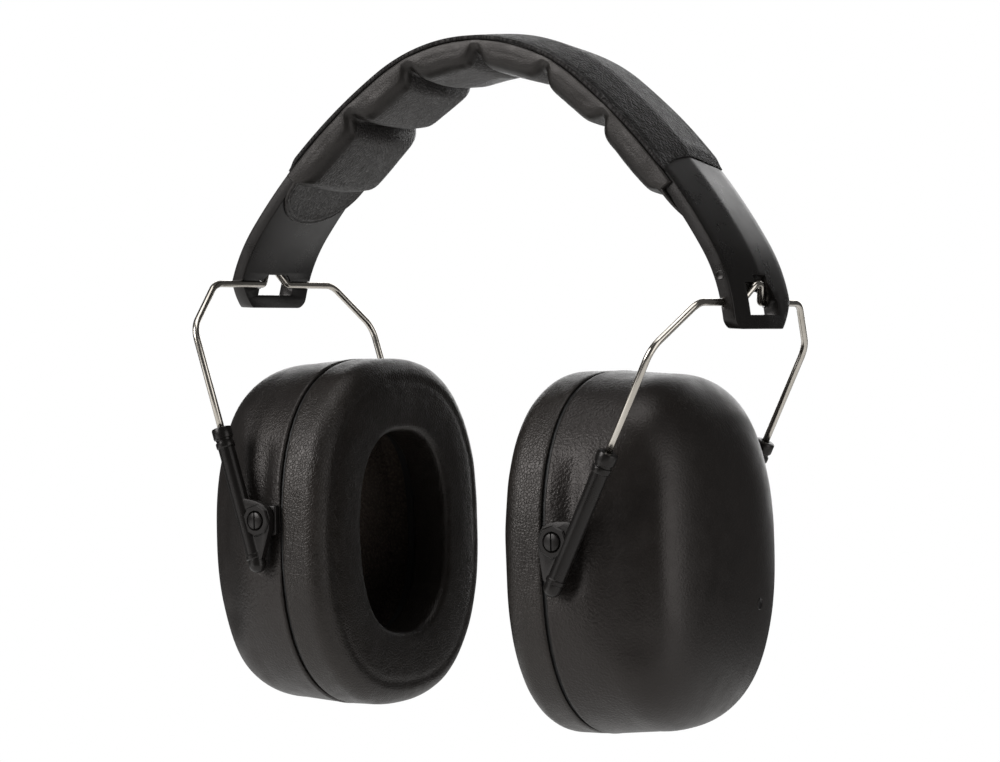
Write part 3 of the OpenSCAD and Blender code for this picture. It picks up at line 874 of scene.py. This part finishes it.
def make_arm(side, end):
    """One arm; end is front or rear."""
    k = ENDS[end]
    name = "%s_%s_arm" % (side.name, end)

    def on_leg(shape):
        """From the tube's own frame to the leg."""
        points, faces = shape
        return side.yoke(points + np.array([0, k * LEG_Y, -ARM_FROM])), faces

    def on_stud(shape):
        """From height along the third axis to the stud's place, with that height along Y."""
        points, faces = shape
        placed = np.stack([points[:, 0], k * points[:, 2], points[:, 1]], 1)
        return side.yoke(placed + np.array([-STUD_OFFSET, 0, -STUD_FROM])), faces

    piece = add_mesh(name + "_moulding", *on_leg(arm_tube()))
    web = add_mesh(name + "_part", *on_stud(arm_web()))
    eyelet = add_mesh(name + "_part", *on_stud(arm_eyelet()))
    cut(web, add_mesh(name + "_hole", *on_stud(lathe([(EYE_R, 40), (EYE_R, 50)]))))
    for part in (web, eyelet):
        cut(part, add_mesh(name + "_bore", *on_leg(lathe([(BORE_R, -BORE_DEPTH), (BORE_R, 1)]))))
    bevel(web, 0.3, 3, 30)
    merge(piece, web, eyelet)
    smooth_by_angle(piece, 38)
    return finish_piece(piece, name, MATERIAL["satin"], "arm", name)


# ---------- cups ----------


def finish_on_shell(piece, side, material="satin"):
    """Finishes a piece that is moulded in one with the shell."""
    return finish_piece(piece, side.name + "_cup", MATERIAL[material], "shell",
                        side.name + "_shell")


def scoop(x, y, z):
    """Place along Y of the shell's points: hollowed between wall and dome and a little beside the
    arms, and flattened under the arms so that they swing clear."""
    side = np.abs(y) / (HALF_W - 1)
    in_valley = 1 - np.vectorize(ease)((np.abs(z) - 20) / 22)
    in_wall = 1 - np.vectorize(ease)((np.abs(z - PIVOT_UP - 4) - 14) / 7)
    depth = 0
    for (deep, height, spread), place in ((VALLEY, in_valley * side ** 2),
                                          (BESIDE_ARMS, in_wall * side ** 6)):
        depth = depth + deep * math.exp(-((x - height) / spread) ** 2) * place
    soft = 0.6
    width, flat = np.abs(y) - depth, FLAT_Y - soft
    over = np.maximum(width - flat, 0)
    return np.sign(y) * (np.minimum(width, flat) + soft * np.tanh(over / soft))


def shell_ring(x, scale, inset, count=176):
    """Ring of the shell at height x: the outline, inset and then scaled."""
    outline = oval(count, (HALF_W - inset) * scale, (HALF_H - inset) * scale)
    return np.stack([np.full(count, x), scoop(x, *outline.T), outline[:, 1]], 1)


def dome_rings(thick):
    """Rings of the dome as (x, scale, inset), lying thick millimetres inside its outer face."""
    for a in np.radians(np.linspace(0, 89.4, 46)):
        k, up = math.cos(a) ** (2 / DOME_EXP), math.sin(a) ** (2 / DOME_EXP)
        yield WALL_DEPTH + (DOME_DEPTH - thick) * up, k, WALL_DRAFT + thick


def make_shell(side):
    """The dished shell: dome, side wall, rounded rim and the inside."""
    inside = list(dome_rings(SHELL_T))[::-1]
    inside += [(7, 1, WALL_DRAFT * 7 / WALL_DEPTH + SHELL_T), (0.5, 1, SHELL_T),
               (0.2, 1, SHELL_T - 0.3)]
    rim = [(0.2 + 0.7 * (1 - math.cos(a)), 1, 0.7 * (1 - math.sin(a)))
           for a in np.radians([0, 30, 60, 90])]
    wall = [(x, 1, WALL_DRAFT * x / WALL_DEPTH) for x in np.linspace(1.6, 14.2, 11)]
    levels = inside + rim + wall + list(dome_rings(0))
    rings = [shell_ring(*level) for level in levels]
    points = side.cup(np.concatenate(rings))
    piece = add_mesh(side.name + "_shell_moulding", points, loft_faces(len(rings), len(rings[0])))
    grain = [1 - 0.62 * ease((x - 12) / 14) for x, _, _ in levels for _ in range(len(rings[0]))]
    attribute(piece, "grain", np.repeat(np.array(grain)[:, None], 3, axis=1))
    return finish_on_shell(piece, side, "shell")


def make_stud(side, end):
    """Split stud that the arm's eyelet snaps over: two halves with a slit between them."""
    slit_half, count = 0.22, 21
    t = np.linspace(-math.pi / 2, math.pi / 2, count)
    profile = [(STUD_R, BOSS_FROM), (STUD_R, STUD_TIP - 0.35), (STUD_R - 0.1, STUD_TIP - 0.12),
               (STUD_R - 0.35, STUD_TIP)]
    halves = []
    for half in (-1, 1):
        rings = [np.stack([half * np.maximum(r * np.cos(t), slit_half),
                           ENDS[end] * np.full(count, h), r * np.sin(t)], 1) for r, h in profile]
        halves.append((np.concatenate(rings), loft_faces(len(profile), count)))
    points, faces = join(*halves)
    points = side.cup(points + np.array([PIVOT_OUT, 0, PIVOT_UP]))
    piece = add_mesh("%s_%s_stud" % (side.name, end), points, faces)
    smooth_by_angle(piece, 40)
    return finish_on_shell(piece, side)


def make_block(side, end):
    """Block beside the stud that keeps the arm off the shell's rim."""
    low, high = PIVOT_UP - 4.2, PIVOT_UP + 4.2
    outline = [(0.4, low), (3.6, low), (3.6, high), (0.4, high)]
    points, faces = prism(outline, BOSS_FROM, LEG_Y - 0.9)
    points = side.cup(np.stack([points[:, 0], ENDS[end] * points[:, 2], points[:, 1]], 1))
    piece = add_mesh("%s_%s_block" % (side.name, end), points, faces)
    bevel(piece, 0.45, 3)
    smooth_by_angle(piece, 40)
    return finish_on_shell(piece, side)


def ring_mark():
    """Low raised ring round a flat middle, about +Z, as points and faces."""
    profile = [(0.02, -0.3), (1.75, -0.3), (1.7, 0.02), (1.55, 0.13), (1.35, 0.13), (1.2, 0.03),
               (0.02, 0.03)]
    return lathe(profile, 28)


def make_shell_mark(side):
    """Moulder's ring mark, low on the outer face and toward the back."""
    points, faces = ring_mark()
    y, z = points[:, 0] + SHELL_MARK[0], points[:, 1] + SHELL_MARK[1]
    width, height = HALF_W - WALL_DRAFT, HALF_H - WALL_DRAFT
    across = np.abs(y / width) ** CUP_N + np.abs(z / height) ** CUP_N
    rise = (1 - across ** (DOME_EXP / CUP_N)) ** (1 / DOME_EXP)
    x = WALL_DEPTH + DOME_DEPTH * rise + points[:, 2]
    piece = add_mesh(side.name + "_shell_mark", side.cup(np.stack([x, y, z], 1)), faces)
    return finish_on_shell(piece, side)


def make_bow_mark():
    """Moulder's ring mark on the bow's front edge, above the right yoke."""
    points, faces = ring_mark()
    s, depth = BOW_MARK
    placed = [bow_point(s + x, -BOW_HALF - 0.6 * lift, depth + y) for x, y, lift in 0.8 * points]
    piece = add_mesh("bow_mark", placed, faces)
    return finish_piece(piece, "headband", MATERIAL["satin"], "bow", "headband_bow")


def cushion_section():
    """Section of the cushion as (x, inset, free) points, from its back edge round its face."""
    back, face, edge_r, inner_r = -PLATE_T - 0.15, 0.3 - PLATE_T - CUSHION_T, 6.5, 2.2
    deep = HALF_W - OPENING[0]
    line = [(back, 1.6, 0), (back, 0.75, 0), (-0.95, 0.72, 0), (-0.85, 0.5, 0), (-0.98, 0.25, 0),
            (-1.35, 0.06, 0), (-1.9, 0, 0.1), (-2.8, 0, 0.4), (-3.9, 0, 0.7), (-5, 0, 0.9),
            (-6.2, 0, 1)]
    line += [(face + edge_r * (1 - math.sin(a)), edge_r * (1 - math.cos(a)), 1)
             for a in np.radians(np.linspace(0, 90, 13))]
    line += [(face, i, 1) for i in np.linspace(edge_r, deep - inner_r, 13)[1:-1]]
    line += [(face + inner_r * (1 - math.cos(a)), deep - inner_r * (1 - math.sin(a)), 1)
             for a in np.radians(np.linspace(0, 90, 6))]
    line += [(x, deep, ease((back - x) / 6)) for x in np.linspace(face + inner_r, back, 9)[1:]]
    line += [(back, i, 0) for i in np.linspace(deep, 1.6, 6)[1:-1]]
    return line


def make_cushion(side):
    """Foam-filled ring in thin leatherette, blown up as cloth with its back edge held."""
    count = 168
    section = cushion_section()
    deep, tall = HALF_W - OPENING[0], HALF_H - OPENING[1]
    rings = []
    for x, inset, _ in section:
        ring = oval(count, HALF_W - inset, HALF_H - inset * tall / deep)
        rings.append(np.column_stack([np.full(count, x), ring]))
    local = np.concatenate(rings)
    points = side.cup(local)
    free = np.repeat([f for _, _, f in section], count)
    inset = np.repeat([i for _, i, _ in section], count)
    piece = add_mesh(side.name + "_ear_cushion", points, loft_faces(len(rings), count, wrap=True))
    inflate(piece, free, pressure=1.2, cap=1.0)
    x = local[:, 0]
    seam = np.exp(-((inset - 6.2) / 0.8) ** 2) * (x < -12)       # round the face
    puckers = np.exp(-((inset - 19) / 2.2) ** 2) * (x < -9)      # round the opening
    swell = wave(points, 17, 4) * 0.22 + wave(points, 7, 8) * 0.09
    swell += wave(points, 4.5, 2) * 0.16 * puckers
    along_normals(piece, (swell - 0.30 * seam) * free)
    subdivide(piece)
    finish_piece(piece, side.name + "_cup", MATERIAL["cushion"], "cushion_leatherette",
                 side.name + "_cushion_cover", side.name + "_cushion_foam")
    return piece


def paint_nodes(side):
    """Materials of the CAD nodes that stay in view."""
    for name, material in (("_cushion_plate", "plate"), ("_foam_liner", "foam")):
        node = frame["nodes"][side.name + name]
        node.material_slots[0].material = MATERIAL[material]


# ---------- floor, light and camera ----------


def make_floor():
    """Plain floor far enough down to leave no shadow in the photograph's view."""
    half, low = 1200, -520
    corners = [(-half, -half, low), (half, -half, low), (half, half, low), (-half, half, low)]
    floor = add_mesh("floor", corners, [(0, 1, 2, 3)], smooth=False)
    pale = Shader("pale_floor", (0.86, 0.86, 0.85), 0.8, Emission_Color=(1, 1, 1, 1),
                  Emission_Strength=0.15)
    floor.data.materials.append(pale.material)


def make_light(name, place, size, power):
    """Soft white light at place in metres, of that width and height, aimed at the object."""
    lamp = bpy.data.lights.new(name, "AREA")
    lamp.shape = "RECTANGLE"
    lamp.size, lamp.size_y = size
    lamp.energy = power
    made = bpy.data.objects.new(name, lamp)
    made.location = place
    middle = Vector((0, 0, -0.09))
    made.rotation_euler = (middle - Vector(place)).to_track_quat("-Z", "Y").to_euler()
    bpy.context.scene.collection.objects.link(made)


def make_world():
    """White where the camera sees past the floor, and dim as a light."""
    world = bpy.data.worlds.new("studio")
    world.use_nodes = True
    bpy.context.scene.world = world
    nodes, links = world.node_tree.nodes, world.node_tree.links
    shine = nodes["Background"]
    shine.inputs["Color"].default_value = (1, 1, 1, 1)
    path = nodes.new("ShaderNodeLightPath")
    mix = nodes.new("ShaderNodeMapRange")
    mix.inputs["To Min"].default_value = 0.08
    mix.inputs["To Max"].default_value = 1.0
    links.new(path.outputs["Is Camera Ray"], mix.inputs["Value"])
    links.new(mix.outputs["Result"], shine.inputs["Strength"])


def make_camera():
    """At the angle of the photograph: 32 degrees towards the right cup and a little above.
    Lengths are in metres."""
    turn, rise, roll = (math.radians(a) for a in (32, 2.2, 1.8))
    distance, move_right, move_up = 0.883, -0.0004, -0.0251
    middle = Vector((0, 0, -0.058))
    back = Vector((math.sin(turn) * math.cos(rise), -math.cos(turn) * math.cos(rise),
                   math.sin(rise)))
    level = Vector((math.cos(turn), math.sin(turn), 0))
    upright = back.cross(level)
    right = level * math.cos(roll) + upright * math.sin(roll)
    up = upright * math.cos(roll) - level * math.sin(roll)
    data = bpy.data.cameras.new("camera")
    data.lens = 111.2
    data.clip_start = 0.01
    camera = bpy.data.objects.new("camera", data)
    place = right * move_right + up * move_up + back * distance + middle
    turned = Matrix((right, up, back)).transposed().to_4x4()
    camera.matrix_world = Matrix.Translation(place) @ turned
    bpy.context.scene.collection.objects.link(camera)
    bpy.context.scene.camera = camera


# ---------- the scene ----------

make_bow()
make_top_cover()
make_pad_cover()
make_bow_mark()
for one in SIDES:
    make_tab(one)
    make_shell_mark(one)
    make_yoke(one)
    make_shell(one)
    make_cushion(one)
    paint_nodes(one)
    for where in ENDS:
        make_arm(one, where)
        make_stud(one, where)
        make_block(one, where)

make_floor()
make_world()
make_light("key", (-0.75, -1.15, 0.55), (0.7, 0.9), 15)
make_light("top", (0.0, -0.1, 1.0), (1.0, 0.7), 5)
make_light("right", (1.3, -0.15, 0.05), (1.0, 1.2), 6)
make_light("back", (-0.5, 1.15, 0.2), (1.2, 0.8), 7)
make_light("bounce", (-0.75, -0.95, -0.5), (0.9, 0.6), 2)
make_camera()
bpy.context.scene.view_settings.view_transform = "Standard"
